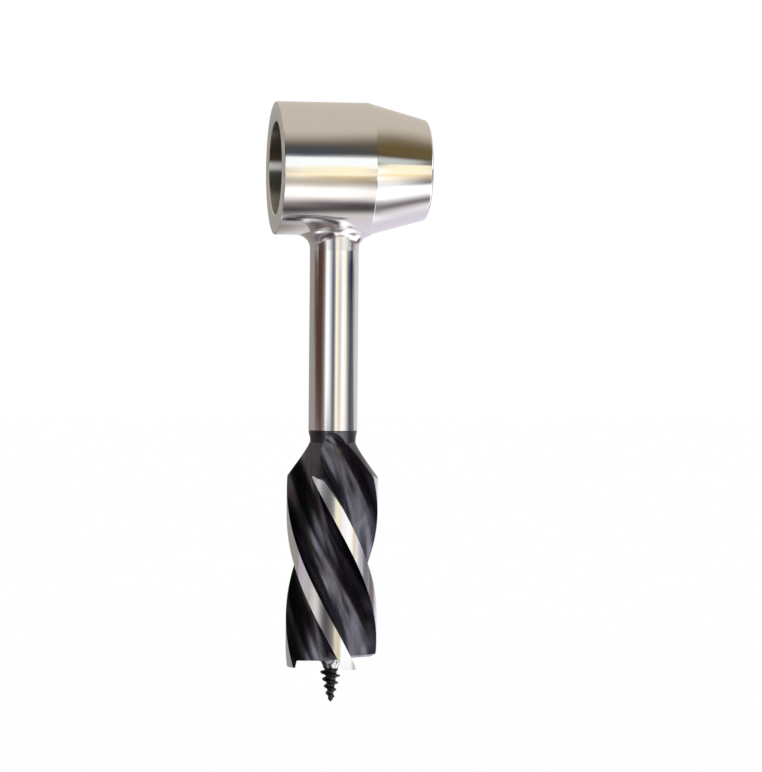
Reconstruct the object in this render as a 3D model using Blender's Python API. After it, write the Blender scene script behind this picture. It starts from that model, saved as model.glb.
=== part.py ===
"""A scotch-eye hand auger: a bored eye for a cross handle, a welded shank, a four-flute bit and a lead screw.

Metres, +Z up. The origin is where the axis of the eye's bore (along X) crosses the drilling axis (along Z).
"""

import math

import bmesh
import bpy
from mathutils import Matrix, Vector

GAP = 0.0003  # left between two pieces that touch on the real tool

# Eye: a tube along X, flat at -X and tapered outside at +X
BORE_RADIUS = 0.0127
EYE_WALL = 0.0055
RIM_WALL = 0.0010  # what the taper leaves of the wall at the thin end
EYE_FLAT_END = 0.0166  # distance of the flat end from the drilling axis
EYE_TAPER_START = 0.0087
EYE_TAPER_END = 0.0250
FLAT_END_CHAMFER = 0.0005
BORE_CHAMFER = 0.0004
RIM_ROUNDING = 0.0008
RIM_BORE_CHAMFER = 0.0002

# Shank: a round bar from the eye down to the bit
SHANK_RADIUS = 0.0067
SHANK_END = 0.0717  # depth of the joint between shank and bit below the eye's axis
WELD_SHOULDER = 0.0020  # width of the step where the shank's top is turned down to take the weld
SOCKET_WALL = 0.0024  # wall round the blind hole in the shank's foot
SOCKET_CLEARANCE = 0.0010  # room above the bit's spigot in that hole
DRILL_POINT = math.radians(118)  # full angle of the hole's conical end

# Weld: a ring of metal ground to a fillet between eye and shank
WELD_FILLET = 0.0038
WELD_SKIRT = 0.0004  # straight part of the ring below the fillet
WELD_EDGE = 0.00025  # thickness of the ring's edge on the eye

# Bit: collar, cone, fluted body, lips and spurs
BIT_RADIUS = 0.0125
COLLAR_LENGTH = 0.0032
COLLAR_CUT = 0.0015  # depth to which the flutes' floors lie inside the collar
CONE_LENGTH = 0.0094
BODY_LENGTH = 0.05045  # from the cone's foot to the cutting lips
SPUR_LENGTH = 0.00165
SPUR_THICKNESS = 0.0008
SPUR_LEAN = 0.0010  # how much thicker a spur is at its root
BARE_BLADE = 0  # the blade whose land ends at the lip, without a spur
LAND_ANGLE = math.radians(18.5)
TWIST_LEAD = 0.1423  # height of one full turn of a flute
LAND_START_ANGLE = math.radians(-238.7)  # a land's place at the height of the eye's axis
FLUTES = 4
LIP_RELIEF = math.radians(17)
TANG_LENGTH = 0.0150
TANG_CHAMFER = 0.0006

# Lead screw
NECK_RADIUS = 0.0032
NECK_LENGTH = 0.0027
NECK_HOLLOW = 0.0002  # how far the neck's side curves in
NECK_FOOT_RADIUS = 0.0020
SCREW_LENGTH = 0.0118  # from the cutting lips to the point
THREAD_PITCH = 0.00193
THREAD_RADIUS = 0.0031  # crest where the thread starts
THREAD_TIP_RADIUS = 0.0009  # crest where it ends
THREAD_START_ANGLE = math.radians(180)
THREAD_WIDTH = 0.62  # width of the ridge's foot as a share of the pitch
CREST_WIDTH = 0.16  # width of the ridge's flat crest as a share of the pitch
THREAD_FADE = 0.35  # turns in which the ridge grows at one end and dies away at the other
ROOT_RADIUS = 0.00175
ROOT_TIP_RADIUS = 0.0006
POINT_LENGTH = 0.0006  # plain cone below the last turn
STUB_SHOULDER = 0.0012  # width of the step between the neck and the stub in the bit's nose
STUB_LENGTH = 0.0080

# Fineness of the facets
EYE_SIDES = 96
SHANK_SIDES = 56
COPE_RINGS = 3
FILLET_STEPS = 8
ROUNDING_STEPS = 4
FLUTE_STEPS = 14
LAND_STEPS = 5
END_SIDES = 64
NOSE_SIDES = 32
SCREW_SIDES = 20
THREAD_ROWS = 12  # rows for each turn of the thread
BODY_STEP = 0.0026
RUNOUT_STEP = 0.0009
SHARP_ANGLE = math.radians(30)
LEAST_FLUTE = 0.0000013  # depth that a flute keeps above its end, so that all rings have equal points
CUTTER_MARGIN = 0.0025  # how far a cutter reaches past what it cuts

# What follows from the sizes above
EYE_RADIUS = BORE_RADIUS + EYE_WALL
RIM_RADIUS = BORE_RADIUS + RIM_WALL
SPIGOT_RADIUS = SHANK_RADIUS - WELD_SHOULDER
SOCKET_RADIUS = SHANK_RADIUS - SOCKET_WALL
TANG_RADIUS = SOCKET_RADIUS - GAP
SOCKET_DEPTH = TANG_LENGTH + SOCKET_CLEARANCE
CORE_RADIUS = SHANK_RADIUS - COLLAR_CUT
STUB_RADIUS = NECK_RADIUS - STUB_SHOULDER
BIT_TOP = -SHANK_END
CONE_TOP = BIT_TOP - COLLAR_LENGTH
CONE_FOOT = CONE_TOP - CONE_LENGTH
LIP_HEIGHT = CONE_FOOT - BODY_LENGTH
SPUR_HEIGHT = LIP_HEIGHT - SPUR_LENGTH
SPUR_ROOT_RADIUS = BIT_RADIUS - SPUR_THICKNESS - SPUR_LEAN
POINT_HEIGHT = LIP_HEIGHT - SCREW_LENGTH
THREAD_TOP = LIP_HEIGHT - NECK_LENGTH
THREAD_END = POINT_HEIGHT + POINT_LENGTH
WELD_CENTRE = EYE_RADIUS + WELD_FILLET  # distance of the rolling fillet's centre from the eye's axis
WELD_FOOT = -WELD_CENTRE - WELD_SKIRT


def clear_scene():
    for obj in list(bpy.data.objects):
        bpy.data.objects.remove(obj)


def metal(name, colour, roughness, metallic=1.0):
    material = bpy.data.materials.new(name)
    material.use_nodes = True
    shader = material.node_tree.nodes["Principled BSDF"]
    shader.inputs["Base Color"].default_value = (*colour, 1.0)
    shader.inputs["Roughness"].default_value = roughness
    shader.inputs["Metallic"].default_value = metallic
    return material


def skinned(name, rings, material, place, closed_loop=False):
    """An object whose surface joins rings of equal length; its two ends are poles, or meet each other."""
    bm = bmesh.new()
    rows = []
    for ring in rings:
        points = [bm.verts.new(Vector(point) - place) for point in ring]
        rows.append(points)
    pairs = list(zip(rows, rows[1:]))
    if closed_loop:
        pairs.append((rows[-1], rows[0]))
    for upper, lower in pairs:
        sides = max(len(upper), len(lower))
        for i in range(sides):
            corners = [
                upper[i % len(upper)],
                upper[(i + 1) % len(upper)],
                lower[(i + 1) % len(lower)],
                lower[i % len(lower)],
            ]
            bm.faces.new(list(dict.fromkeys(corners)))
    if not closed_loop:
        for end in (rows[0], rows[-1]):
            if len(end) > 1:
                bm.faces.new(end)
    bmesh.ops.recalc_face_normals(bm, faces=bm.faces)
    mesh = bpy.data.meshes.new(name)
    bm.to_mesh(mesh)
    bm.free()
    mesh.shade_smooth()
    mesh.set_sharp_from_angle(angle=SHARP_ANGLE)
    mesh.materials.append(material)
    obj = bpy.data.objects.new(name, mesh)
    bpy.context.scene.collection.objects.link(obj)
    obj.location = place
    return obj


def circle_angles(sides):
    return [2 * math.pi * i / sides for i in range(sides)]


def around_z(radius, height, angles):
    return [(radius * math.cos(a), radius * math.sin(a), height) for a in angles]


def rounded_corner(before, corner, after, radius, steps):
    """Points of the arc that rounds a corner of an outline in a plane."""
    corner = Vector(corner)
    to_before = (Vector(before) - corner).normalized()
    to_after = (Vector(after) - corner).normalized()
    half = to_before.angle(to_after) / 2
    bisector = (to_before + to_after).normalized()
    centre = corner + bisector * (radius / math.sin(half))
    start = (corner + to_before * (radius / math.tan(half)) - centre).normalized()
    end = (corner + to_after * (radius / math.tan(half)) - centre).normalized()
    return [centre + start.slerp(end, i / steps) * radius for i in range(steps + 1)]


def eye_socket(material):
    """The bored tube: a closed outline of (place along X, radius), turned round the X axis."""
    rim = rounded_corner(
        (EYE_TAPER_START, EYE_RADIUS),
        (EYE_TAPER_END, RIM_RADIUS),
        (EYE_TAPER_END, BORE_RADIUS),
        RIM_ROUNDING,
        ROUNDING_STEPS,
    )
    outline = [
        (-EYE_FLAT_END, BORE_RADIUS + BORE_CHAMFER),
        (-EYE_FLAT_END, EYE_RADIUS - FLAT_END_CHAMFER),
        (-EYE_FLAT_END + FLAT_END_CHAMFER, EYE_RADIUS),
        (EYE_TAPER_START, EYE_RADIUS),
        *rim,
        (EYE_TAPER_END - RIM_BORE_CHAMFER, BORE_RADIUS),
        (-EYE_FLAT_END + BORE_CHAMFER, BORE_RADIUS),
    ]
    rings = []
    for along, radius in outline:
        ring = [(along, radius * math.cos(a), radius * math.sin(a)) for a in circle_angles(EYE_SIDES)]
        rings.append(ring)
    return skinned("eye_socket", rings, material, Vector((0, 0, 0)), closed_loop=True)


def under_eye(x, y):
    """A point of the surface that lies one gap outside the eye, on its lower side."""
    return x, y, -math.sqrt((EYE_RADIUS + GAP) ** 2 - y**2)


def shank(material):
    """The bar, from the coped end under the eye, down its outside and up into the socket in its foot."""
    angles = circle_angles(SHANK_SIDES)
    foot = -SHANK_END + GAP / 2
    shoulder = WELD_FOOT - GAP
    hole_top = foot + SOCKET_DEPTH
    coped = []
    for i in range(1, COPE_RINGS + 1):
        radius = SPIGOT_RADIUS * i / COPE_RINGS
        coped.append([under_eye(radius * math.cos(a), radius * math.sin(a)) for a in angles])
    rings = [
        [under_eye(0, 0)],
        *coped,
        around_z(SPIGOT_RADIUS, shoulder, angles),
        around_z(SHANK_RADIUS, shoulder, angles),
        around_z(SHANK_RADIUS, foot, angles),
        around_z(SOCKET_RADIUS, foot, angles),
        around_z(SOCKET_RADIUS, hole_top, angles),
        [(0, 0, hole_top + SOCKET_RADIUS / math.tan(DRILL_POINT / 2))],
    ]
    return skinned("shank", rings, material, Vector((0, 0, -SHANK_END)))


def fillet_section(angle):
    """The weld's closed section at one angle round the shank, from its inner foot outwards and back."""
    out = Vector((math.cos(angle), math.sin(angle), 0))
    centre = out * (SHANK_RADIUS + WELD_FILLET)
    centre.z = -math.sqrt(WELD_CENTRE**2 - centre.y**2)
    to_shank = -out
    to_eye = Vector((0, -centre.y, -centre.z)).normalized()
    sweep = to_shank.angle(to_eye)
    edge_angle = math.acos(1 - (GAP + WELD_EDGE) / WELD_FILLET)
    last = 1 - edge_angle / sweep
    arc = []
    for i in range(FILLET_STEPS + 1):
        arc.append(centre + to_shank.slerp(to_eye, last * i / FILLET_STEPS) * WELD_FILLET)
    edge = arc[-1]
    inner = SPIGOT_RADIUS + GAP
    middle = (inner + math.hypot(edge.x, edge.y)) / 2
    return [
        (out.x * inner, out.y * inner, WELD_FOOT),
        (out.x * SHANK_RADIUS, out.y * SHANK_RADIUS, WELD_FOOT),
        *arc,
        under_eye(edge.x, edge.y),
        under_eye(out.x * middle, out.y * middle),
        under_eye(out.x * inner, out.y * inner),
    ]


def eye_weld(material):
    rings = [fillet_section(angle) for angle in circle_angles(SHANK_SIDES)]
    return skinned("eye_weld", rings, material, Vector((0, 0, WELD_FOOT)), closed_loop=True)


def flute_circle():
    """(distance from the drilling axis, radius) of the circle that cuts a flute to the core and the lands."""
    half = math.pi / FLUTES - LAND_ANGLE / 2
    edge_x = BIT_RADIUS * math.cos(half)
    away = (BIT_RADIUS**2 - CORE_RADIUS**2) / (2 * (edge_x - CORE_RADIUS))
    return away, away - CORE_RADIUS


FLUTE_AWAY, FLUTE_RADIUS = flute_circle()
# The flute ends in the collar, in the ball shape of its cutter.
RUNOUT_HEIGHT = BIT_TOP - GAP
BALL_REACH = math.sqrt(FLUTE_RADIUS**2 - (FLUTE_AWAY - SHANK_RADIUS) ** 2)
BALL_HEIGHT = RUNOUT_HEIGHT - BALL_REACH


def body_radius(height):
    """Outside radius of the collar, the cone and the body."""
    share = (CONE_TOP - height) / CONE_LENGTH
    return SHANK_RADIUS + (BIT_RADIUS - SHANK_RADIUS) * min(max(share, 0.0), 1.0)


def land_angle(height, land):
    """Angle round the drilling axis of the middle of one land at one height."""
    turned = 2 * math.pi * (land / FLUTES - height / TWIST_LEAD)
    return LAND_START_ANGLE - math.pi / 2 + turned


def flute_ring(height):
    """The bit's outline at one height: for each flute, its arc and then the land that follows it."""
    outside = body_radius(height)
    beyond = max(height - BALL_HEIGHT, 0.0)
    least = FLUTE_AWAY - outside + LEAST_FLUTE
    radius = math.sqrt(max(FLUTE_RADIUS**2 - beyond**2, least**2))
    # Seen from the flute's centre, its arc runs to where it meets the outside of the body.
    cosine = (FLUTE_AWAY**2 + radius**2 - outside**2) / (2 * FLUTE_AWAY * radius)
    swing = math.acos(min(cosine, 1.0))
    edge = math.atan2(radius * math.sin(swing), FLUTE_AWAY - radius * math.cos(swing))
    ring = []
    for flute in range(FLUTES):
        middle = land_angle(height, flute + 0.5)
        for step in range(FLUTE_STEPS):
            a = swing * (2 * step / FLUTE_STEPS - 1)
            x = FLUTE_AWAY - radius * math.cos(a)
            y = radius * math.sin(a)
            ring.append(
                (
                    x * math.cos(middle) - y * math.sin(middle),
                    x * math.sin(middle) + y * math.cos(middle),
                    height,
                )
            )
        land = 2 * math.pi / FLUTES - 2 * edge
        for step in range(LAND_STEPS):
            a = middle + edge + land * step / LAND_STEPS
            ring.append((outside * math.cos(a), outside * math.sin(a), height))
    return ring


def stepped(start, end, step):
    """Heights from start down to end, no further apart than a step, without the end."""
    count = math.ceil((start - end) / step)
    return [start + (end - start) * i / count for i in range(count)]


def cutter(name, bm):
    mesh = bpy.data.meshes.new(name)
    bmesh.ops.recalc_face_normals(bm, faces=bm.faces)
    bm.to_mesh(mesh)
    bm.free()
    obj = bpy.data.objects.new(name, mesh)
    bpy.context.scene.collection.objects.link(obj)
    obj.hide_render = True
    obj.display_type = "WIRE"
    return obj


def cut(obj, tool):
    modifier = obj.modifiers.new(tool.name, "BOOLEAN")
    modifier.operation = "DIFFERENCE"
    modifier.solver = "EXACT"
    modifier.object = tool
    tool.parent = obj
    tool.matrix_parent_inverse = obj.matrix_world.inverted()


def turned_cutter(name, top, foot, top_radius, foot_radius, sides):
    bm = bmesh.new()
    bmesh.ops.create_cone(
        bm,
        cap_ends=True,
        segments=sides,
        radius1=foot_radius,
        radius2=top_radius,
        depth=top - foot,
        matrix=Matrix.Translation((0, 0, (top + foot) / 2)),
    )
    return cutter(name, bm)


def relief_cutter(flute):
    """A wedge under one blade: its upper plane starts at the lip and rises behind it."""
    bm = bmesh.new()
    reach = BIT_RADIUS + CUTTER_MARGIN
    depth = SPUR_LENGTH + CUTTER_MARGIN
    corners = ((0.0, -depth), (reach, -depth), (reach, reach * math.tan(LIP_RELIEF)), (0.0, 0.0))
    outer_end = reach if flute == BARE_BLADE else SPUR_ROOT_RADIUS
    ends = []
    for along in (NECK_RADIUS + GAP, outer_end):
        ends.append([bm.verts.new((along, side, up)) for side, up in corners])
    bm.faces.new(ends[0])
    bm.faces.new(reversed(ends[1]))
    for i in range(len(corners)):
        bm.faces.new((ends[0][i - 1], ends[0][i], ends[1][i], ends[1][i - 1]))
    turn = Matrix.Rotation(land_angle(LIP_HEIGHT, flute) + LAND_ANGLE / 2, 4, "Z")
    mirror = Matrix.Diagonal((1, -1, 1, 1))
    bmesh.ops.transform(bm, matrix=Matrix.Translation((0, 0, LIP_HEIGHT)) @ turn @ mirror, verts=bm.verts)
    return cutter(f"relief_cutter_{flute}", bm)


def spur_cutter():
    """A block below the lips that takes the spur off the bare blade's land."""
    bm = bmesh.new()
    reach = BIT_RADIUS + CUTTER_MARGIN
    depth = SPUR_LENGTH + CUTTER_MARGIN
    inner = SPUR_ROOT_RADIUS - CUTTER_MARGIN
    width = 2 * BIT_RADIUS * math.sin(LAND_ANGLE)
    size = Matrix.Diagonal((reach - inner, width, depth, 1))
    place = Matrix.Translation(((reach + inner) / 2, 0, LIP_HEIGHT - depth / 2))
    turn = Matrix.Rotation(land_angle(LIP_HEIGHT, BARE_BLADE), 4, "Z")
    bmesh.ops.create_cube(bm, size=1, matrix=turn @ place @ size)
    return cutter("spur_cutter", bm)


def auger_bit(material):
    """Spigot, collar, cone and fluted body in one skin, then the cuts that leave lips and spurs."""
    top = BIT_TOP - GAP / 2
    heights = stepped(RUNOUT_HEIGHT, CONE_FOOT, RUNOUT_STEP) + stepped(CONE_FOOT, SPUR_HEIGHT, BODY_STEP)
    # The cone's ends are kept as sharp edges of the skin.
    heights = sorted(set(heights) | {CONE_TOP, SPUR_HEIGHT}, reverse=True)
    first = flute_ring(RUNOUT_HEIGHT)
    angles = [math.atan2(y, x) for x, y, _ in first]
    tang_top = top + TANG_LENGTH
    rings = [
        around_z(TANG_RADIUS - TANG_CHAMFER, tang_top, angles),
        around_z(TANG_RADIUS, tang_top - TANG_CHAMFER, angles),
        around_z(TANG_RADIUS, top, angles),
        around_z(SHANK_RADIUS, top, angles),
        *[flute_ring(height) for height in heights],
    ]
    obj = skinned("auger_bit", rings, material, Vector((0, 0, BIT_TOP)))
    bpy.context.view_layer.update()
    below = SPUR_HEIGHT - CUTTER_MARGIN
    foot = SPUR_ROOT_RADIUS + SPUR_LEAN * (LIP_HEIGHT - below) / SPUR_LENGTH
    cut(obj, turned_cutter("end_cutter", LIP_HEIGHT, below, SPUR_ROOT_RADIUS, foot, END_SIDES))
    cut(obj, spur_cutter())
    hole = STUB_RADIUS + GAP
    hole_top = LIP_HEIGHT + STUB_LENGTH + GAP
    cut(obj, turned_cutter("nose_cutter", hole_top, below, hole, hole, NOSE_SIDES))
    for flute in range(FLUTES):
        cut(obj, relief_cutter(flute))
    return obj


def thread_radius(height, angle):
    """Radius of the tapered left-hand thread: a narrow ridge that winds round a tapered root."""
    share = (THREAD_TOP - height) / (THREAD_TOP - THREAD_END)
    root = ROOT_RADIUS + (ROOT_TIP_RADIUS - ROOT_RADIUS) * share
    crest = THREAD_RADIUS + (THREAD_TIP_RADIUS - THREAD_RADIUS) * share
    turns = (THREAD_TOP - height) / THREAD_PITCH - (angle - THREAD_START_ANGLE) / (2 * math.pi)
    from_crest = abs(turns - math.floor(turns) - 0.5) * 2
    ridge = (THREAD_WIDTH - from_crest) / (THREAD_WIDTH - CREST_WIDTH)
    to_nearer_end = min(THREAD_TOP - height, height - THREAD_END) / THREAD_PITCH
    fade = min(max(to_nearer_end / THREAD_FADE, 0.0), 1.0)
    return root + (crest - root) * min(max(ridge, 0.0), 1.0) * fade


def lead_screw(material):
    angles = circle_angles(SCREW_SIDES)
    shoulder = LIP_HEIGHT - GAP
    rows = math.ceil((THREAD_TOP - THREAD_END) / THREAD_PITCH * THREAD_ROWS)
    threaded = []
    for row in range(rows + 1):
        height = THREAD_TOP + (THREAD_END - THREAD_TOP) * row / rows
        ring = []
        for a in angles:
            radius = thread_radius(height, a)
            ring.append((radius * math.cos(a), radius * math.sin(a), height))
        threaded.append(ring)
    waist = (NECK_RADIUS + NECK_FOOT_RADIUS) / 2 - NECK_HOLLOW
    rings = [
        around_z(STUB_RADIUS, LIP_HEIGHT + STUB_LENGTH, angles),
        around_z(STUB_RADIUS, shoulder, angles),
        around_z(NECK_RADIUS, shoulder, angles),
        around_z(waist, (shoulder + THREAD_TOP) / 2, angles),
        around_z(NECK_FOOT_RADIUS, THREAD_TOP + THREAD_PITCH / THREAD_ROWS, angles),
        *threaded,
        [(0, 0, POINT_HEIGHT)],
    ]
    return skinned("lead_screw", rings, material, Vector((0, 0, LIP_HEIGHT)))


def main():
    clear_scene()
    polished = metal("polished_steel", (0.72, 0.69, 0.65), 0.12)
    ground = metal("ground_weld_steel", (0.66, 0.63, 0.60), 0.20)
    turned = metal("turned_steel", (0.70, 0.67, 0.65), 0.14)
    black = metal("black_oxide_steel", (0.045, 0.043, 0.052), 0.32, 0.85)
    black_screw = metal("black_oxide_screw", (0.05, 0.048, 0.055), 0.38, 0.85)
    auger = bpy.data.objects.new("hand_auger", None)
    bpy.context.scene.collection.objects.link(auger)
    for piece in (
        eye_socket(polished),
        eye_weld(ground),
        shank(turned),
        auger_bit(black),
        lead_screw(black_screw),
    ):
        piece.parent = auger


main()
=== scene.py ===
import math

import bmesh
import bpy
from mathutils import Matrix, Vector


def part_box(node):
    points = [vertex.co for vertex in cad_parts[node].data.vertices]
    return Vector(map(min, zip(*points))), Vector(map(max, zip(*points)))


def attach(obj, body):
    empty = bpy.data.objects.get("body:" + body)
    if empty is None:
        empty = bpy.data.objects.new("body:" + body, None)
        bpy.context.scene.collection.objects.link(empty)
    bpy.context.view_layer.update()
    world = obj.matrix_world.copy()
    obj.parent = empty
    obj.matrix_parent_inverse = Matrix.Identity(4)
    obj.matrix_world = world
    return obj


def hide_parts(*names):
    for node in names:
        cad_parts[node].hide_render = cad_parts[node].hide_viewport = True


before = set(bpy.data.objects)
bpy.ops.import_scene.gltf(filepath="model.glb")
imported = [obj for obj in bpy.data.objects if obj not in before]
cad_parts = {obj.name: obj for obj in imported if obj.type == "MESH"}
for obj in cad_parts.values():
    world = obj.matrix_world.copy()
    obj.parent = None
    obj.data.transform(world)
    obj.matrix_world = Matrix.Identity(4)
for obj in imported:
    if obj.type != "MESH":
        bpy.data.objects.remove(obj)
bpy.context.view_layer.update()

MM = 0.001
GAP = 0.3 * MM  # that the solids leave between two neighbours
SKIN_GAP = 0.02 * MM  # the same between two skins

# Sizes that the frame gives
EYE_LOW, EYE_HIGH = (Vector(corner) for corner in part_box("eye_socket"))
SHANK_LOW, SHANK_HIGH = (Vector(corner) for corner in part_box("shank"))
BIT_LOW, BIT_HIGH = (Vector(corner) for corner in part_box("auger_bit"))
SCREW_LOW = Vector(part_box("lead_screw")[0])
EYE_RADIUS = EYE_HIGH.z
FLAT_END = EYE_LOW.x
THIN_END = EYE_HIGH.x
SHANK_RADIUS = SHANK_HIGH.x
BIT_RADIUS = BIT_HIGH.x
JOINT_HEIGHT = SHANK_LOW.z - GAP / 2
SPUR_HEIGHT = BIT_LOW.z
POINT_HEIGHT = SCREW_LOW.z

# Eye
BORE_RADIUS = 12.7 * MM
TAPER_START = 8.7 * MM
RIM_RADIUS = 13.7 * MM
FLAT_ROUNDING = 0.25 * MM
BORE_ROUNDING = 0.4 * MM
TAPER_ROUNDING = 0.6 * MM
RIM_ROUNDING = 0.8 * MM
RIM_BORE_ROUNDING = 0.15 * MM
EYE_SIDES = 288
ROUNDING_STEPS = 6
LIGHT_BAND_HEIGHT = 1.0 * MM  # of the painted light band along the bore's sides

# Weld and shank
FILLET = 3.8 * MM
SKIRT = 0.4 * MM  # straight part of the ring below the fillet
FEATHER = 0.02 * MM  # thickness of the fillet's feather edge on the eye
RING_SINK = 0.05 * MM  # how deep the ring's hidden top lies in the eye's skin
SPIGOT_RADIUS = 4.7 * MM
SPIGOT_POINT = 0.7 * MM  # height of the low cone on its hidden top
FOOT_CHAMFER = 0.15 * MM
SHANK_SIDES = 192
FILLET_STEPS = 24

# Bit
COLLAR_LENGTH = 3.2 * MM
CONE_LENGTH = 9.4 * MM
SPUR_LENGTH = 1.65 * MM
SPUR_THICKNESS = 0.8 * MM
SPUR_LEAN = 1.0 * MM  # how much thicker a spur is at its root
CORE_RADIUS = 5.2 * MM
LAND_ANGLE = math.radians(18.5)
TWIST_LEAD = 142.3 * MM  # height of one full turn of a flute
LAND_START_ANGLE = math.radians(-238.7)  # a land's place at the height of the eye's axis
FLUTES = 4
LIP_RELIEF = math.radians(17)
BARE_BLADE = 0  # the blade whose land ends at the lip, without a spur
FLUTE_STEPS = 40
LAND_STEPS = 10
BODY_STEP = 0.45 * MM
RUNOUT_STEP = 0.2 * MM
RUNOUT_DEPTH = 0.3 * MM  # of the flutes' upper ends below the joint
LEAST_FLUTE = 0.0013 * MM  # depth that a flute keeps above its end, so that all rings have equal points
CUTTER_MARGIN = 2.5 * MM  # how far a cutter reaches past what it cuts

# Lead screw
NECK_RADIUS = 3.2 * MM
NECK_LENGTH = 2.7 * MM
NECK_HOLLOW = 0.2 * MM  # how far the neck's side curves in
NECK_FOOT_RADIUS = 2.0 * MM
NECK_SINK = 0.05 * MM  # how far the neck reaches into the bit's nose
THREAD_PITCH = 1.93 * MM
THREAD_RADIUS = 3.1 * MM
THREAD_TIP_RADIUS = 0.9 * MM
THREAD_START_ANGLE = math.radians(180)
THREAD_WIDTH = 0.62  # width of the ridge's foot as a share of the pitch
CREST_WIDTH = 0.16  # width of the ridge's flat crest as a share of the pitch
THREAD_FADE = 0.35  # turns in which the ridge grows at one end and dies away at the other
ROOT_RADIUS = 1.75 * MM
ROOT_TIP_RADIUS = 0.6 * MM
POINT_LENGTH = 0.6 * MM
SCREW_SIDES = 72
THREAD_ROWS = 36

# Edges of the skins that bend by more than this are sharp ones.
SHARP = math.radians(32)
SHARP_ON_BIT = math.radians(28)

# Heights that follow
CONE_TOP = JOINT_HEIGHT - COLLAR_LENGTH
CONE_FOOT = CONE_TOP - CONE_LENGTH
LIP_HEIGHT = SPUR_HEIGHT + SPUR_LENGTH
SPUR_ROOT_RADIUS = BIT_RADIUS - SPUR_THICKNESS - SPUR_LEAN
THREAD_TOP = LIP_HEIGHT - NECK_LENGTH
THREAD_END = POINT_HEIGHT + POINT_LENGTH
WELD_CENTRE = EYE_RADIUS + FILLET
WELD_FOOT = -WELD_CENTRE - SKIRT

# Camera, fitted to the eye, the shank and the bit in the photograph
CAMERA_AZIMUTH = math.radians(-10.07)
CAMERA_ELEVATION = math.radians(1.77)
CAMERA_DISTANCE = 848 * MM
CAMERA_ROLL = math.radians(0.53)
TARGET = Vector((13.33, 0, -59.47)) * MM
LENS = 145.5
SENSOR = 36.0
CLIP_START = 0.01
CLIP_END = 20.0

# Studio
FLOOR_HEIGHT = -0.19
FLOOR_SIZE = 6.0
FLOOR_TONE = (1.0, 1.0, 1.0)
FLOOR_GRAIN = (0.99, 0.99, 0.99)


def mesh_object(name, bm, material=None):
    mesh = bpy.data.meshes.new(name)
    bm.to_mesh(mesh)
    bm.free()
    obj = bpy.data.objects.new(name, mesh)
    bpy.context.scene.collection.objects.link(obj)
    if material:
        mesh.materials.append(material)
    return obj


def skinned(name, rings, material, closed_loop=False):
    """An object whose surface joins rings of equal length; its two ends are closed, or meet each other."""
    bm = bmesh.new()
    rows = [[bm.verts.new(point) for point in ring] for ring in rings]
    pairs = list(zip(rows, rows[1:]))
    if closed_loop:
        pairs.append((rows[-1], rows[0]))
    for upper, lower in pairs:
        sides = max(len(upper), len(lower))
        for i in range(sides):
            corners = [
                upper[i % len(upper)],
                upper[(i + 1) % len(upper)],
                lower[(i + 1) % len(lower)],
                lower[i % len(lower)],
            ]
            bm.faces.new(list(dict.fromkeys(corners)))
    if not closed_loop:
        for end in (rows[0], rows[-1]):
            if len(end) > 1:
                bm.faces.new(end)
    bmesh.ops.recalc_face_normals(bm, faces=bm.faces)
    obj = mesh_object(name, bm, material)
    obj.data.shade_smooth()
    obj.data.set_sharp_from_angle(angle=SHARP)
    return obj


def circle_angles(sides):
    return [2 * math.pi * i / sides for i in range(sides)]


def around_z(radius, height, angles):
    return [(radius * math.cos(a), radius * math.sin(a), height) for a in angles]


def rounded_corner(before, corner, after, radius):
    """Points of the arc that rounds a corner of an outline in a plane."""
    corner = Vector(corner)
    to_before = (Vector(before) - corner).normalized()
    to_after = (Vector(after) - corner).normalized()
    half = to_before.angle(to_after) / 2
    centre = corner + (to_before + to_after).normalized() * (radius / math.sin(half))
    start = (corner + to_before * (radius / math.tan(half)) - centre).normalized()
    end = (corner + to_after * (radius / math.tan(half)) - centre).normalized()
    shares = [i / ROUNDING_STEPS for i in range(ROUNDING_STEPS + 1)]
    return [centre + start.slerp(end, share) * radius for share in shares]


def eye(material):
    """The bored tube, turned round the X axis from a closed outline with rounded corners."""
    corners = [
        ((FLAT_END, BORE_RADIUS), BORE_ROUNDING),
        ((FLAT_END, EYE_RADIUS), FLAT_ROUNDING),
        ((TAPER_START, EYE_RADIUS), TAPER_ROUNDING),
        ((THIN_END, RIM_RADIUS), RIM_ROUNDING),
        ((THIN_END, BORE_RADIUS), RIM_BORE_ROUNDING),
    ]
    outline = []
    for i, (corner, radius) in enumerate(corners):
        before = corners[i - 1][0]
        after = corners[(i + 1) % len(corners)][0]
        outline += rounded_corner(before, corner, after, radius)
    rings = []
    for along, radius in outline:
        ring = [(along, radius * math.cos(a), radius * math.sin(a)) for a in circle_angles(EYE_SIDES)]
        rings.append(ring)
    return skinned("eye", rings, material, closed_loop=True)


def in_eye(x, y):
    """The point of the eye's underside at (x, y), sunk a little into its skin."""
    return Vector((x, y, -math.sqrt((EYE_RADIUS - RING_SINK) ** 2 - y**2)))


def weld_section(angle):
    """Outline of the ring's section at one angle: its foot, the fillet's arc, and its top in the eye."""
    out = Vector((math.cos(angle), math.sin(angle), 0))
    centre = out * (SHANK_RADIUS + FILLET)
    centre.z = -math.sqrt(WELD_CENTRE**2 - centre.y**2)
    to_shank = -out
    to_eye = Vector((0, -centre.y, -centre.z)).normalized()
    sweep = to_shank.angle(to_eye)
    last = 1 - math.acos(1 - FEATHER / FILLET) / sweep
    shares = [last * i / FILLET_STEPS for i in range(FILLET_STEPS + 1)]
    arc = [centre + to_shank.slerp(to_eye, share) * FILLET for share in shares]
    edge = arc[-1]
    inner = SPIGOT_RADIUS
    return [
        Vector((out.x * inner, out.y * inner, WELD_FOOT)),
        Vector((out.x * SHANK_RADIUS, out.y * SHANK_RADIUS, WELD_FOOT)),
        *arc,
        in_eye(edge.x, edge.y),
        in_eye(out.x * inner, out.y * inner),
    ]


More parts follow.
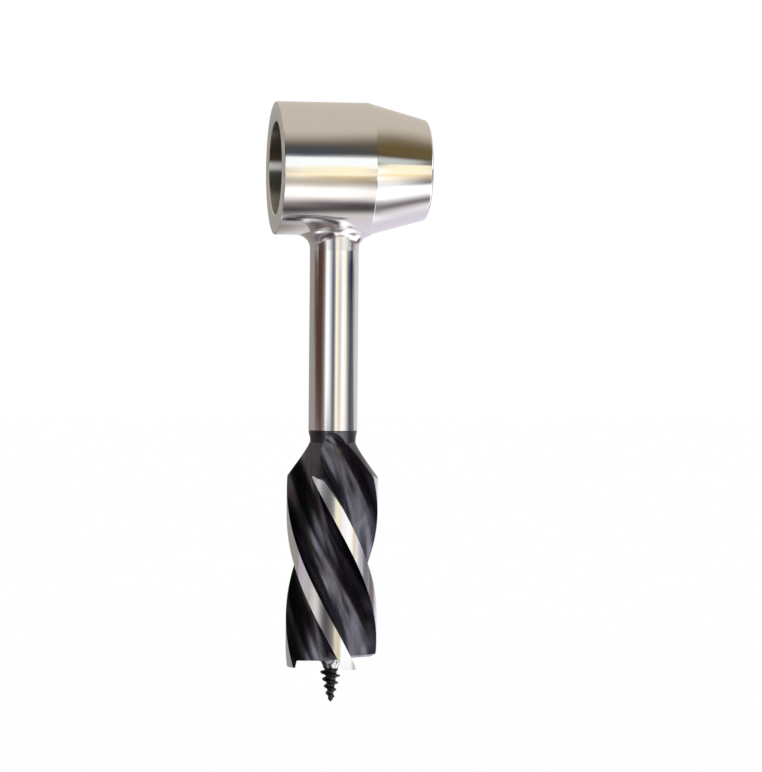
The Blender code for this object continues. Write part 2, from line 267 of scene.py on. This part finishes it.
def weld(material):
    rings = [weld_section(angle) for angle in circle_angles(SHANK_SIDES)]
    return skinned("weld_fillet", rings, material, closed_loop=True)


def shank(material):
    angles = circle_angles(SHANK_SIDES)
    top = -EYE_RADIUS
    spigot = SPIGOT_RADIUS - SKIN_GAP
    rings = [
        [(0, 0, top)],
        around_z(spigot, top - SPIGOT_POINT, angles),
        around_z(spigot, WELD_FOOT, angles),
        around_z(SHANK_RADIUS, WELD_FOOT, angles),
        around_z(SHANK_RADIUS, JOINT_HEIGHT + FOOT_CHAMFER, angles),
        around_z(SHANK_RADIUS - FOOT_CHAMFER, JOINT_HEIGHT, angles),
        [(0, 0, JOINT_HEIGHT)],
    ]
    return skinned("shank_bar", rings, material)


def flute_circle():
    """Distance from the drilling axis, and radius, of the circle that cuts a flute between two lands."""
    half = math.pi / FLUTES - LAND_ANGLE / 2
    edge_x = BIT_RADIUS * math.cos(half)
    away = (BIT_RADIUS**2 - CORE_RADIUS**2) / (2 * (edge_x - CORE_RADIUS))
    return away, away - CORE_RADIUS


FLUTE_AWAY, FLUTE_RADIUS = flute_circle()
RUNOUT_HEIGHT = JOINT_HEIGHT - RUNOUT_DEPTH
BALL_HEIGHT = RUNOUT_HEIGHT - math.sqrt(FLUTE_RADIUS**2 - (FLUTE_AWAY - SHANK_RADIUS) ** 2)


def body_radius(height):
    share = (CONE_TOP - height) / CONE_LENGTH
    return SHANK_RADIUS + (BIT_RADIUS - SHANK_RADIUS) * min(max(share, 0.0), 1.0)


def land_angle(height, land):
    """Angle round the drilling axis of the middle of one land at one height."""
    turned = 2 * math.pi * (land / FLUTES - height / TWIST_LEAD)
    return LAND_START_ANGLE - math.pi / 2 + turned


def flute_ring(height):
    """The bit's outline at one height: for each flute, its arc and then the land that follows it."""
    outside = body_radius(height)
    beyond = max(height - BALL_HEIGHT, 0.0)
    least = FLUTE_AWAY - outside + LEAST_FLUTE
    radius = math.sqrt(max(FLUTE_RADIUS**2 - beyond**2, least**2))
    cosine = (FLUTE_AWAY**2 + radius**2 - outside**2) / (2 * FLUTE_AWAY * radius)
    swing = math.acos(min(cosine, 1.0))
    edge = math.atan2(radius * math.sin(swing), FLUTE_AWAY - radius * math.cos(swing))
    ring = []
    for flute in range(FLUTES):
        middle = land_angle(height, flute + 0.5)
        for step in range(FLUTE_STEPS):
            a = swing * (2 * step / FLUTE_STEPS - 1)
            x = FLUTE_AWAY - radius * math.cos(a)
            y = radius * math.sin(a)
            turned_x = x * math.cos(middle) - y * math.sin(middle)
            turned_y = x * math.sin(middle) + y * math.cos(middle)
            ring.append((turned_x, turned_y, height))
        land = 2 * math.pi / FLUTES - 2 * edge
        for step in range(LAND_STEPS):
            a = middle + edge + land * step / LAND_STEPS
            ring.append((outside * math.cos(a), outside * math.sin(a), height))
    return ring


def stepped(start, end, step):
    """Heights from start down to end, no further apart than a step, without the end."""
    count = math.ceil((start - end) / step)
    return [start + (end - start) * i / count for i in range(count)]


def cut(obj, bm, name):
    """Takes a closed shape out of an object's mesh."""
    bmesh.ops.recalc_face_normals(bm, faces=bm.faces)
    tool = mesh_object(name, bm)
    modifier = obj.modifiers.new(name, "BOOLEAN")
    modifier.operation = "DIFFERENCE"
    modifier.solver = "EXACT"
    modifier.object = tool
    bpy.context.view_layer.objects.active = obj
    bpy.ops.object.modifier_apply(modifier=name)
    bpy.data.objects.remove(tool)


def turned_cutter(top, foot, top_radius, foot_radius):
    bm = bmesh.new()
    bmesh.ops.create_cone(
        bm,
        cap_ends=True,
        segments=SHANK_SIDES,
        radius1=foot_radius,
        radius2=top_radius,
        depth=top - foot,
        matrix=Matrix.Translation((0, 0, (top + foot) / 2)),
    )
    return bm


def relief_cutter(flute):
    """A wedge under one blade: its upper plane starts at the lip and rises behind it."""
    bm = bmesh.new()
    reach = BIT_RADIUS + CUTTER_MARGIN
    depth = SPUR_LENGTH + CUTTER_MARGIN
    corners = ((0.0, -depth), (reach, -depth), (reach, reach * math.tan(LIP_RELIEF)), (0.0, 0.0))
    outer_end = reach if flute == BARE_BLADE else SPUR_ROOT_RADIUS
    ends = []
    for along in (NECK_RADIUS, outer_end):
        ends.append([bm.verts.new((along, side, up)) for side, up in corners])
    bm.faces.new(ends[0])
    bm.faces.new(reversed(ends[1]))
    for i in range(len(corners)):
        bm.faces.new((ends[0][i - 1], ends[0][i], ends[1][i], ends[1][i - 1]))
    turn = Matrix.Rotation(land_angle(LIP_HEIGHT, flute) + LAND_ANGLE / 2, 4, "Z")
    mirror = Matrix.Diagonal((1, -1, 1, 1))
    bmesh.ops.transform(bm, matrix=Matrix.Translation((0, 0, LIP_HEIGHT)) @ turn @ mirror, verts=bm.verts)
    return bm


def spur_cutter():
    """A block below the lips that takes the spur off the bare blade's land."""
    bm = bmesh.new()
    reach = BIT_RADIUS + CUTTER_MARGIN
    depth = SPUR_LENGTH + CUTTER_MARGIN
    inner = SPUR_ROOT_RADIUS - CUTTER_MARGIN
    width = 2 * BIT_RADIUS * math.sin(LAND_ANGLE)
    size = Matrix.Diagonal((reach - inner, width, depth, 1))
    place = Matrix.Translation(((reach + inner) / 2, 0, LIP_HEIGHT - depth / 2))
    turn = Matrix.Rotation(land_angle(LIP_HEIGHT, BARE_BLADE), 4, "Z")
    bmesh.ops.create_cube(bm, size=1, matrix=turn @ place @ size)
    return bm


def bit(material):
    """Collar, cone and fluted body in one skin, then the cuts that leave lips and spurs."""
    heights = stepped(RUNOUT_HEIGHT, CONE_FOOT, RUNOUT_STEP) + stepped(CONE_FOOT, SPUR_HEIGHT, BODY_STEP)
    heights = sorted(set(heights) | {CONE_TOP, SPUR_HEIGHT}, reverse=True)
    first = flute_ring(RUNOUT_HEIGHT)
    angles = [math.atan2(y, x) for x, y, _ in first]
    top = JOINT_HEIGHT - SKIN_GAP
    rings = [
        around_z(SHANK_RADIUS - FOOT_CHAMFER, top, angles),
        around_z(SHANK_RADIUS, top - FOOT_CHAMFER, angles),
        *[flute_ring(height) for height in heights],
    ]
    obj = skinned("bit", rings, material)
    below = SPUR_HEIGHT - CUTTER_MARGIN
    foot = SPUR_ROOT_RADIUS + SPUR_LEAN * (LIP_HEIGHT - below) / SPUR_LENGTH
    cut(obj, turned_cutter(LIP_HEIGHT, below, SPUR_ROOT_RADIUS, foot), "end_cut")
    cut(obj, spur_cutter(), "spur_cut")
    for flute in range(FLUTES):
        cut(obj, relief_cutter(flute), f"relief_cut_{flute}")
    obj.data.set_sharp_from_angle(angle=SHARP_ON_BIT)
    return obj


def thread_radius(height, angle):
    """Radius of the tapered left-hand thread: a narrow ridge that winds round a tapered root."""
    share = (THREAD_TOP - height) / (THREAD_TOP - THREAD_END)
    root = ROOT_RADIUS + (ROOT_TIP_RADIUS - ROOT_RADIUS) * share
    crest = THREAD_RADIUS + (THREAD_TIP_RADIUS - THREAD_RADIUS) * share
    turns = (THREAD_TOP - height) / THREAD_PITCH - (angle - THREAD_START_ANGLE) / (2 * math.pi)
    from_crest = abs(turns - math.floor(turns) - 0.5) * 2
    ridge = (THREAD_WIDTH - from_crest) / (THREAD_WIDTH - CREST_WIDTH)
    to_nearer_end = min(THREAD_TOP - height, height - THREAD_END) / THREAD_PITCH
    fade = min(max(to_nearer_end / THREAD_FADE, 0.0), 1.0)
    return root + (crest - root) * min(max(ridge, 0.0), 1.0) * fade


def screw(material):
    angles = circle_angles(SCREW_SIDES)
    shoulder = LIP_HEIGHT + NECK_SINK
    rows = math.ceil((THREAD_TOP - THREAD_END) / THREAD_PITCH * THREAD_ROWS)
    threaded = []
    for row in range(rows + 1):
        height = THREAD_TOP + (THREAD_END - THREAD_TOP) * row / rows
        ring = []
        for a in angles:
            radius = thread_radius(height, a)
            ring.append((radius * math.cos(a), radius * math.sin(a), height))
        threaded.append(ring)
    waist = (NECK_RADIUS + NECK_FOOT_RADIUS) / 2 - NECK_HOLLOW
    rings = [
        around_z(NECK_RADIUS, shoulder, angles),
        around_z(waist, (shoulder + THREAD_TOP) / 2, angles),
        around_z(NECK_FOOT_RADIUS, THREAD_TOP + THREAD_PITCH / 12, angles),
        *threaded,
        [(0, 0, POINT_HEIGHT)],
    ]
    return skinned("screw_point", rings, material)


# Tones and finish of the steel
EYE_STEEL = (0.80, 0.77, 0.73)
WELD_STEEL = (0.78, 0.75, 0.72)
SHANK_STEEL = (0.79, 0.77, 0.75)
# Painted shade on the bore's wall: dark at its top and lighter towards its bottom
BORE_PAINTED_SHADE_TOP = (0.22, 0.19, 0.15)
BORE_PAINTED_SHADE_BOTTOM = (0.48, 0.48, 0.40)
BORE_ROUGHNESS = 0.4
# A pale tone painted as a band of light along the bore's sides
BORE_PAINTED_LIGHT_BAND = (0.85, 0.84, 0.78)
BARE_STEEL = (0.80, 0.79, 0.77)
BARE_STEEL_CLOUD = (0.74, 0.73, 0.72)
OXIDE = (0.066, 0.064, 0.073)
OXIDE_STREAK = (0.098, 0.095, 0.108)
OXIDE_CLOUD = (0.180, 0.172, 0.205)
THREAD_OXIDE = (0.020, 0.019, 0.023)
THREAD_OXIDE_PALE = (0.055, 0.053, 0.060)
THREAD_RUBBED = (0.12, 0.117, 0.12)
FINE_RINGS = 16000  # the polish, in waves for each metre along the piece
FINE_RINGS_AROUND = 700
COARSE_RINGS = 3000
COARSE_RINGS_AROUND = 50
RING_DEPTH = 0.0004 * MM
STREAK_DEPTH = 0.002 * MM
THREAD_GRAIN = 0.02 * MM

# Where the lands are ground bright: below a line that slants across the land, and on a strip that widens
# downwards
LINE_DROP = 0.25 * MM  # from the cone's foot to the line, at the land's middle
LINE_SLANT = -0.45
LINE_RAGGED = 0.5 * MM
STRIP_START = 0.9 * MM  # from the land's middle to the strip's edge, at the cone's foot
STRIP_GROWTH = 0.14


class Shader:
    """A material's node tree, with short ways to add nodes and join them."""

    def __init__(self, name):
        self.material = bpy.data.materials.new(name)
        self.material.use_nodes = True
        self.nodes = self.material.node_tree.nodes
        self.links = self.material.node_tree.links
        self.surface = self.nodes["Principled BSDF"]

    def add(self, kind, inputs=(), **settings):
        node = self.nodes.new(kind)
        for key, value in settings.items():
            setattr(node, key, value)
        for key, value in dict(inputs).items():
            self.join(value, node.inputs[key])
        return node

    def join(self, value, socket):
        if isinstance(value, bpy.types.NodeSocket):
            self.links.new(value, socket)
        else:
            socket.default_value = value

    def math(self, operation, *values):
        node = self.nodes.new("ShaderNodeMath")
        node.operation = operation
        for socket, value in zip(node.inputs, values):
            self.join(value, socket)
        return node.outputs[0]

    def ramp(self, value, low, high):
        """0 below low and 1 above high, smooth between; low may be above high."""
        inputs = {0: value, 1: low, 2: high}
        return self.add("ShaderNodeMapRange", inputs, interpolation_type="SMOOTHSTEP").outputs[0]

    def mix(self, share, first, second):
        """A colour that goes from first to second as share goes from 0 to 1."""
        node = self.add("ShaderNodeMix", data_type="RGBA")
        self.join(share, node.inputs[0])
        for value, socket in ((first, node.inputs[6]), (second, node.inputs[7])):
            self.join((*value, 1.0) if isinstance(value, tuple) else value, socket)
        return node.outputs[2]

    def blend(self, share, first, second):
        """A number that goes from first to second as share goes from 0 to 1."""
        node = self.add("ShaderNodeMix", data_type="FLOAT")
        self.join(share, node.inputs[0])
        self.join(first, node.inputs[2])
        self.join(second, node.inputs[3])
        return node.outputs[0]

    def place(self, scale):
        where = self.add("ShaderNodeTexCoord").outputs["Object"]
        return self.add("ShaderNodeMapping", {"Vector": where, "Scale": scale}).outputs[0]

    def axes(self):
        """The point's X, Y and Z in the piece's own space."""
        where = self.add("ShaderNodeTexCoord").outputs["Object"]
        return self.add("ShaderNodeSeparateXYZ", {0: where}).outputs

    def length(self, first, second):
        """Distance from an axis, from the two coordinates across it."""
        square = self.math("ADD", self.math("POWER", first, 2), self.math("POWER", second, 2))
        return self.math("SQRT", square)

    def noise(self, vector, detail, rough=0.5):
        inputs = {"Vector": vector, "Scale": 1.0, "Detail": detail, "Roughness": rough}
        return self.add("ShaderNodeTexNoise", inputs).outputs[0]

    def bump(self, height, distance):
        return self.add("ShaderNodeBump", {"Height": height, "Distance": distance}).outputs[0]

    def finish(self, **inputs):
        for key, value in inputs.items():
            value = (*value, 1.0) if isinstance(value, tuple) else value
            self.join(value, self.surface.inputs[key.replace("_", " ")])
        return self.material


def bore_masks(shader):
    """Masks of the bore's unpolished wall, which carries painted shade, its lower part, where that painted
    shade is lighter, and the painted light band along its sides.
    """
    axes = shader.axes()
    wall = shader.ramp(shader.length(axes[1], axes[2]), BORE_RADIUS + 0.15 * MM, BORE_RADIUS + 0.05 * MM)
    height = shader.math("SUBTRACT", axes[2], LIGHT_BAND_HEIGHT)
    lower = shader.ramp(height, 1.5 * MM, -5.5 * MM)
    side = shader.ramp(shader.math("ABSOLUTE", height), 2.0 * MM, 0.3 * MM)
    return wall, lower, shader.math("MULTIPLY", wall, side)


def turned_steel(name, colour, axis, rough, wear, bore=False):
    """Bright steel with fine rings round one axis, as a lathe and a polishing belt leave."""
    shader = Shader(name)

    def rings(along, across, detail, roughness):
        scale = [along if letter == axis else across for letter in "XYZ"]
        return shader.noise(shader.place(scale), detail, roughness)

    fine = rings(FINE_RINGS, FINE_RINGS_AROUND, 3, 0.5)
    coarse = rings(COARSE_RINGS, COARSE_RINGS_AROUND, 4, 0.6)
    patches = shader.noise(shader.place((90, 90, 90)), 3)
    darker = tuple(channel * 0.985 for channel in colour)
    tone = shader.mix(shader.ramp(coarse, 0.35, 0.7), colour, darker)
    metal = 1.0
    worn = shader.blend(shader.ramp(patches, 0.35, 0.7), rough, rough + wear)
    rough_here = shader.math("MULTIPLY_ADD", shader.math("SUBTRACT", fine, 0.5), wear, worn)
    if bore:
        wall, lower, light_band = bore_masks(shader)
        # Painted shade on the bore's wall, dark at its top and lighter towards its bottom
        tone = shader.mix(wall, tone, shader.mix(lower, BORE_PAINTED_SHADE_TOP, BORE_PAINTED_SHADE_BOTTOM))
        # A pale, less metallic tone painted along the bore's sides as a band of light
        tone = shader.mix(light_band, tone, BORE_PAINTED_LIGHT_BAND)
        metal = shader.math("SUBTRACT", 1.0, shader.math("MULTIPLY", light_band, 0.9))
        rough_here = shader.blend(wall, rough_here, BORE_ROUGHNESS)
    return shader.finish(
        Base_Color=tone,
        Metallic=metal,
        Roughness=rough_here,
        Anisotropic=0.75,
        Anisotropic_Rotation=0.25,
        Tangent=shader.add("ShaderNodeTangent", direction_type="RADIAL", axis=axis).outputs[0],
        Normal=shader.bump(fine, RING_DEPTH),
    )


def bit_steel():
    """Black oxide in the flutes and on the cone, and bright steel where the lands are ground."""
    shader = Shader("black_oxide_and_ground_lands")
    axes = shader.axes()

    # The place across a land, in metres from its middle
    radius = shader.length(axes[0], axes[1])
    around = shader.math("ARCTAN2", axes[1], axes[0])
    turned = shader.math("MULTIPLY_ADD", axes[2], 2 * math.pi / TWIST_LEAD, math.pi / 2 - LAND_START_ANGLE)
    quarter = math.pi / FLUTES
    across = shader.math("WRAP", shader.math("ADD", around, turned), quarter, -quarter)
    side = shader.math("MULTIPLY", across, BIT_RADIUS)

    # The ground part of the lands
    ragged = shader.math("SUBTRACT", shader.noise(shader.place((900, 900, 900)), 3), 0.5)
    growth = (BIT_RADIUS - SHANK_RADIUS) / CONE_LENGTH
    cone = shader.math("MULTIPLY_ADD", axes[2], -growth, SHANK_RADIUS + growth * CONE_TOP)
    outside = shader.math("MINIMUM", cone, BIT_RADIUS)
    on_land = shader.ramp(shader.math("SUBTRACT", radius, outside), -0.10 * MM, -0.03 * MM)
    line = shader.math("MULTIPLY_ADD", side, LINE_SLANT, CONE_FOOT - LINE_DROP)
    line = shader.math("MULTIPLY_ADD", ragged, LINE_RAGGED, line)
    below_line = shader.ramp(shader.math("SUBTRACT", axes[2], line), 0.1 * MM, -0.1 * MM)
    down = shader.math("SUBTRACT", CONE_FOOT, axes[2])
    strip = shader.math("MULTIPLY_ADD", down, STRIP_GROWTH, STRIP_START)
    on_strip = shader.ramp(shader.math("SUBTRACT", side, strip), 0.05 * MM, -0.05 * MM)
    ground = shader.math("MULTIPLY", shader.math("MULTIPLY", on_land, below_line), on_strip)

    # Faint streaks run along the flutes.
    stretched = {
        0: shader.math("MULTIPLY", side, 1500),
        1: shader.math("MULTIPLY", radius, 900),
        2: shader.math("MULTIPLY", axes[2], 28),
    }
    streaks = shader.noise(shader.add("ShaderNodeCombineXYZ", stretched).outputs[0], 3, 0.55)
    cloud = shader.noise(shader.place((130, 130, 60)), 3)
    black = shader.mix(shader.ramp(streaks, 0.25, 0.75), OXIDE, OXIDE_STREAK)
    black = shader.mix(shader.ramp(cloud, 0.45, 0.7), black, OXIDE_CLOUD)
    bright = shader.mix(shader.ramp(cloud, 0.4, 0.7), BARE_STEEL, BARE_STEEL_CLOUD)
    rough = shader.blend(ground, shader.blend(streaks, 0.13, 0.24), shader.blend(cloud, 0.14, 0.22))
    return shader.finish(
        Base_Color=shader.mix(ground, black, bright),
        Metallic=1.0,
        Roughness=rough,
        Normal=shader.bump(streaks, STREAK_DEPTH),
    )


def screw_steel():
    """Black oxide, rubbed thinner in places, and bare on one side of the neck."""
    shader = Shader("black_oxide_thread")
    axes = shader.axes()
    cloud = shader.noise(shader.place((900, 900, 900)), 3)
    black = shader.mix(cloud, THREAD_OXIDE, THREAD_OXIDE_PALE)
    black = shader.mix(shader.ramp(cloud, 0.56, 0.70), black, THREAD_RUBBED)

    # One side of the neck is bare where the lips were ground.
    outwards = shader.math("MULTIPLY_ADD", axes[1], -0.8, shader.math("MULTIPLY", axes[0], 0.6))
    on_side = shader.ramp(outwards, 0.3 * MM, 0.9 * MM)
    on_neck = shader.ramp(axes[2], THREAD_TOP + 0.2 * MM, THREAD_TOP + 0.6 * MM)
    flecked = shader.ramp(cloud, 0.40, 0.48)
    bare = shader.math("MULTIPLY", on_side, shader.math("MULTIPLY", on_neck, flecked))
    return shader.finish(
        Base_Color=shader.mix(bare, black, BARE_STEEL),
        Metallic=0.9,
        Roughness=shader.blend(cloud, 0.28, 0.44),
        Normal=shader.bump(cloud, THREAD_GRAIN),
    )


def edge(value, at, soft):
    """0 well below a border and 1 well above it, smooth over the width soft."""
    share = min(max((value - at) / soft + 0.5, 0.0), 1.0)
    return share * share * (3 - 2 * share)


def between(value, borders, soft):
    """1 between two borders and 0 outside them, smooth over the width that each border has in soft."""
    return edge(value, borders[0], soft[0]) * edge(-value, -borders[1], soft[1])


class Patch:
    """A soft-edged part of the room.

    rise is the range of its angle above the horizon, measured over the top from the front: 0 is in front,
    90 overhead, 180 behind and 270 below, or -90. side is the range of its angle to the right of the YZ
    plane. soft_rise and soft_side give how far the edges fade, the lower and the left one first.
    """

    def __init__(self, rise, side, colour, soft_rise, soft_side):
        self.rise = rise
        self.side = side
        self.colour = Vector(colour)
        self.soft_rise = soft_rise
        self.soft_side = soft_side

    def cover(self, up, right):
        if up < self.rise[0] - 90:
            up += 360
        return between(up, self.rise, self.soft_rise) * between(right, self.side, self.soft_side)


# Tones of the room
BACKGROUND = (0.76, 0.74, 0.76)
WHITE = (1.5, 1.5, 1.5)
GLARE = (1.8, 1.85, 1.95)
BLACK = (0.015, 0.015, 0.015)
BROWN = (0.11, 0.055, 0.04)
PLUM = (0.08, 0.05, 0.07)
SLATE = (0.14, 0.14, 0.17)
OLIVE = (0.16, 0.12, 0.05)
TAN = (0.68, 0.62, 0.55)
CREAM = (1.25, 1.20, 0.88)
AMBER = (1.35, 1.12, 0.68)
LAVENDER = (0.83, 0.79, 0.93)
GREY = (0.38, 0.36, 0.34)
DIM = (0.20, 0.17, 0.19)
LINTEL = (0.125, 0.095, 0.055)

# The parts of the room, each laid over those before it. Their borders, in degrees, and the widths of their
# fades were fitted to the bands that the steel mirrors in the photograph, and then rounded.
PATCHES = (
    # The wall behind, with a shadow in each of its far corners, and the ceiling
    Patch((170, 245), (-100, 5), GREY, (10, 10), (3, 3)),
    Patch((178, 189), (-100, -67), BROWN, (1, 4), (1, 20)),
    Patch((178, 196), (79, 100), SLATE, (1, 4), (25, 1)),
    Patch((33, 160), (-100, 100), TAN, (20, 5), (15, 15)),
    # A dark lintel in front, under the ceiling, and a black curtain to its left
    Patch((10, 48), (-13, 100), LINTEL, (2, 35), (8, 8)),
    Patch((0, 68), (-100, -7), BLACK, (20, 20), (3, 3)),
    # Two windows in front, with a shade across the top of the left one
    Patch((1, 56), (34, 82), GLARE, (2, 18), (12, 3)),
    Patch((-17, 23), (-1, 52), GLARE, (15, 5), (2, 2)),
    Patch((5, 54), (9, 51), LINTEL, (20, 40), (20, 2)),
    # The dark floor, with pale sheets lying on it
    Patch((-64, -10), (3, 79), PLUM, (18, 10), (2, 8)),
    Patch((-82, -12), (13, 44), GLARE, (8, 14), (4, 10)),
    Patch((-37, -20), (11, 36), BLACK, (2, 7), (10, 40)),
    Patch((-19, -3), (-1, 12), AMBER, (40, 14), (2, 10)),
    Patch((-55, -29), (-2, 14), WHITE, (22, 22), (3, 15)),
    Patch((-126, -40), (34, 70), GLARE, (40, 18), (30, 4)),
    Patch((-46, 0), (50, 57), GLARE, (8, 8), (2, 40)),
    Patch((-76, -61), (2, 35), PLUM, (10, 10), (20, 6)),
    Patch((-124, -64), (14, 30), GLARE, (7, 2), (2, 2)),
    Patch((-96, -66), (30, 47), DIM, (34, 34), (2, 2)),
    Patch((190, 258), (8, 40), LAVENDER, (1, 50), (2, 2)),
    Patch((-120, -60), (-76, 4), DIM, (60, 40), (7, 7)),
    Patch((-105, -83), (-15, 0), GLARE, (2, 33), (10, 3)),
    # To the left: a brown cupboard and a box, with light between them
    Patch((-60, -12), (-66, -2), PLUM, (7, 37), (2, 2)),
    Patch((-172, -15), (-100, -74), BROWN, (8, 8), (1, 10)),
    Patch((-140, -45), (-79, -73), LAVENDER, (60, 2), (12, 2)),
    Patch((-33, -16), (-68, -42), WHITE, (2, 6), (10, 40)),
    Patch((-11, 11), (-48, -31), GLARE, (5, 11), (20, 50)),
    Patch((-29, 5), (-100, -55), BROWN, (2, 2), (1, 34)),
    Patch((-17, -8), (-39, -11), BLACK, (2, 2), (17, 25)),
    # To the right: the side wall, a pink glow on the window's sill, and a dark blue panel
    Patch((-117, 23), (74, 100), SLATE, (2, 5), (3, 1)),
    Patch((-158, -122), (43, 100), DIM, (2, 2), (2, 1)),
    Patch((-8, 1), (8, 31), (0.78, 0.69, 0.65), (2, 2), (22, 34)),
    Patch((-12, 6), (51, 100), (0.015, 0.015, 0.055), (30, 10), (40, 1)),
    # What the eye mirrors: a blue shade, a bright strip, a cream one, a tan one and a black edge
    Patch((6, 39), (-2, 11), (0.07, 0.09, 0.12), (22, 22), (8, 25)),
    Patch((2, 19), (-5, 17), (1.22, 1.29, 1.36), (2, 5), (4, 4)),
    Patch((-12, 4), (2, 11), CREAM, (3, 5), (10, 2)),
    Patch((-28, -16), (-2, 7), (0.66, 0.61, 0.53), (14, 14), (2, 2)),
    Patch((-82, -72), (-2, 17), BLACK, (18, 18), (3, 3)),
    # What the taper mirrors: an olive shade, a pale blue strip, a cream one and an amber one
    Patch((32, 78), (33, 56), OLIVE, (15, 60), (8, 5)),
    Patch((-7, 13), (40, 49), CREAM, (2, 5), (2, 2)),
    Patch((12, 24), (35, 46), (0.69, 0.74, 0.76), (2, 9), (2, 2)),
    Patch((-19, -8), (39, 49), AMBER, (30, 2), (4, 4)),
    # A dark panel round the camera
    Patch((-8, 1), (-17, -6), (0.015, 0.048, 0.120), (2, 2), (20, 27)),
)
DOME_CENTRE = Vector((0, 0, -20 * MM))
DOME_RADIUS = 0.7
DOME_STEP = 1.5


def dome_colour(up, right):
    colour = Vector(BACKGROUND)
    for patch in PATCHES:
        colour = colour.lerp(patch.colour, patch.cover(up, right))
    return colour


def dome():
    """The room that the steel mirrors: a shell that only reflected rays see, coloured by its patches."""
    bm = bmesh.new()
    tint = bm.verts.layers.float_color.new("tint")

    def dome_vert(up, right):
        ring = math.cos(math.radians(right))
        x = math.sin(math.radians(right))
        y = -ring * math.cos(math.radians(up))
        z = ring * math.sin(math.radians(up))
        vert = bm.verts.new(DOME_CENTRE + Vector((x, y, z)) * DOME_RADIUS)
        vert[tint] = (*dome_colour(up, right), 1.0)
        return vert

    sides = round(180 / DOME_STEP)
    left_pole = dome_vert(0, -90)
    right_pole = dome_vert(0, 90)
    rows = []
    for i in range(round(360 / DOME_STEP)):
        row = [dome_vert(-180 + i * DOME_STEP, -90 + j * DOME_STEP) for j in range(1, sides)]
        rows.append(row)
    for upper, lower in zip(rows, [*rows[1:], rows[0]]):
        for i in range(sides - 2):
            bm.faces.new((upper[i], upper[i + 1], lower[i + 1], lower[i]))
        bm.faces.new((left_pole, upper[0], lower[0]))
        bm.faces.new((right_pole, lower[-1], upper[-1]))
    shader = Shader("room")
    colour = shader.add("ShaderNodeAttribute", attribute_name="tint").outputs["Color"]
    lamp = shader.add("ShaderNodeEmission", {"Color": colour}).outputs[0]
    shader.links.new(lamp, shader.nodes["Material Output"].inputs["Surface"])
    shader.nodes.remove(shader.surface)
    obj = mesh_object("room", bm, shader.material)
    obj.visible_camera = False
    obj.visible_diffuse = False
    obj.visible_shadow = False
    obj.visible_transmission = False


def studio():
    """White all round for the camera and the floor, and the dome for the steel."""
    world = bpy.data.worlds.new("studio")
    bpy.context.scene.world = world
    world.use_nodes = True
    background = world.node_tree.nodes["Background"]
    background.inputs["Color"].default_value = (1, 1, 1, 1)
    background.inputs["Strength"].default_value = 1.0
    dome()

    shader = Shader("pale_floor")
    grain = shader.noise(shader.place((40, 40, 40)), 2)
    tone = shader.mix(grain, FLOOR_TONE, FLOOR_GRAIN)
    material = shader.finish(Base_Color=tone, Roughness=1.0, Specular_IOR_Level=0.0)
    bm = bmesh.new()
    level = Matrix.Translation((0, 0, FLOOR_HEIGHT))
    bmesh.ops.create_grid(bm, x_segments=1, y_segments=1, size=FLOOR_SIZE / 2, matrix=level)
    plane = mesh_object("floor", bm, material)
    plane.visible_glossy = False


def camera():
    data = bpy.data.cameras.new("camera")
    data.sensor_fit = "HORIZONTAL"
    data.sensor_width = SENSOR
    data.lens = LENS
    data.clip_start = CLIP_START
    data.clip_end = CLIP_END
    obj = bpy.data.objects.new("camera", data)
    bpy.context.scene.collection.objects.link(obj)
    level = math.cos(CAMERA_ELEVATION)
    x = math.sin(CAMERA_AZIMUTH) * level
    y = -math.cos(CAMERA_AZIMUTH) * level
    back = Vector((x, y, math.sin(CAMERA_ELEVATION)))
    right = Vector((0, 0, 1)).cross(back).normalized()
    up = back.cross(right)
    rolled_right = right * math.cos(CAMERA_ROLL) + up * math.sin(CAMERA_ROLL)
    rolled_up = up * math.cos(CAMERA_ROLL) - right * math.sin(CAMERA_ROLL)
    turn = Matrix((rolled_right, rolled_up, back)).transposed().to_4x4()
    obj.matrix_world = Matrix.Translation(TARGET + back * CAMERA_DISTANCE) @ turn
    bpy.context.scene.camera = obj


def main():
    bpy.context.scene.view_settings.view_transform = "Standard"
    camera()
    studio()
    polished = turned_steel("polished_eye_steel", EYE_STEEL, "X", rough=0.07, wear=0.03, bore=True)
    ground = turned_steel("ground_weld_steel", WELD_STEEL, "Z", rough=0.15, wear=0.05)
    bar = turned_steel("turned_bar_steel", SHANK_STEEL, "Z", rough=0.06, wear=0.03)
    for piece, node, slot in (
        (eye(polished), "eye_socket", "polished_steel"),
        (weld(ground), "eye_weld", "ground_weld_steel"),
        (shank(bar), "shank", "turned_steel"),
        (bit(bit_steel()), "auger_bit", "black_oxide_steel"),
        (screw(screw_steel()), "lead_screw", "black_oxide_screw"),
    ):
        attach(piece, "root")
        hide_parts(node)


main()
